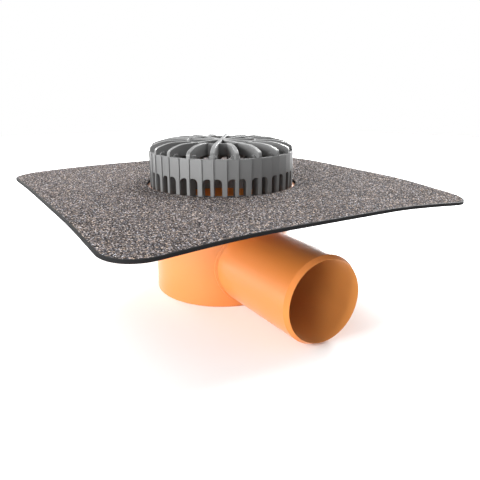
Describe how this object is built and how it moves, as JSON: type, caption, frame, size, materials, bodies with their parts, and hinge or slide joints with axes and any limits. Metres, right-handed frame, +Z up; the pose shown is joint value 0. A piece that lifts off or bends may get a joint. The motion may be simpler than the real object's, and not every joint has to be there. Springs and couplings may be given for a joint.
{
  "type": "flat roof drain",
  "caption": "Flat roof drain: plastic bowl with flange and horizontal outlet pipe, square bitumen collar bonded on the flange, and a finned leaf guard in its mouth.",
  "frame": {"origin": "on the drain's axis, in the plane of the flange's underside, which lies on the roof deck", "axes": "+Z up along the drain's axis, +X along the horizontal outlet pipe and away from the bowl, +Y across"},
  "size_m": [0.5, 0.5, 0.2183],
  "materials": {
    "orange_plastic": "smooth moulded PVC, bright orange, soft gloss",
    "bitumen_felt": "bitumen felt with grey-brown mineral granules on top and cut black edges",
    "grey_plastic": "moulded polypropylene, mid grey, satin"
  },
  "bodies": {
    "root": {"drain_body": "orange_plastic", "outlet_pipe": "orange_plastic", "bitumen_collar": "bitumen_felt", "leaf_guard": "grey_plastic"}
  },
  "joints": []
}
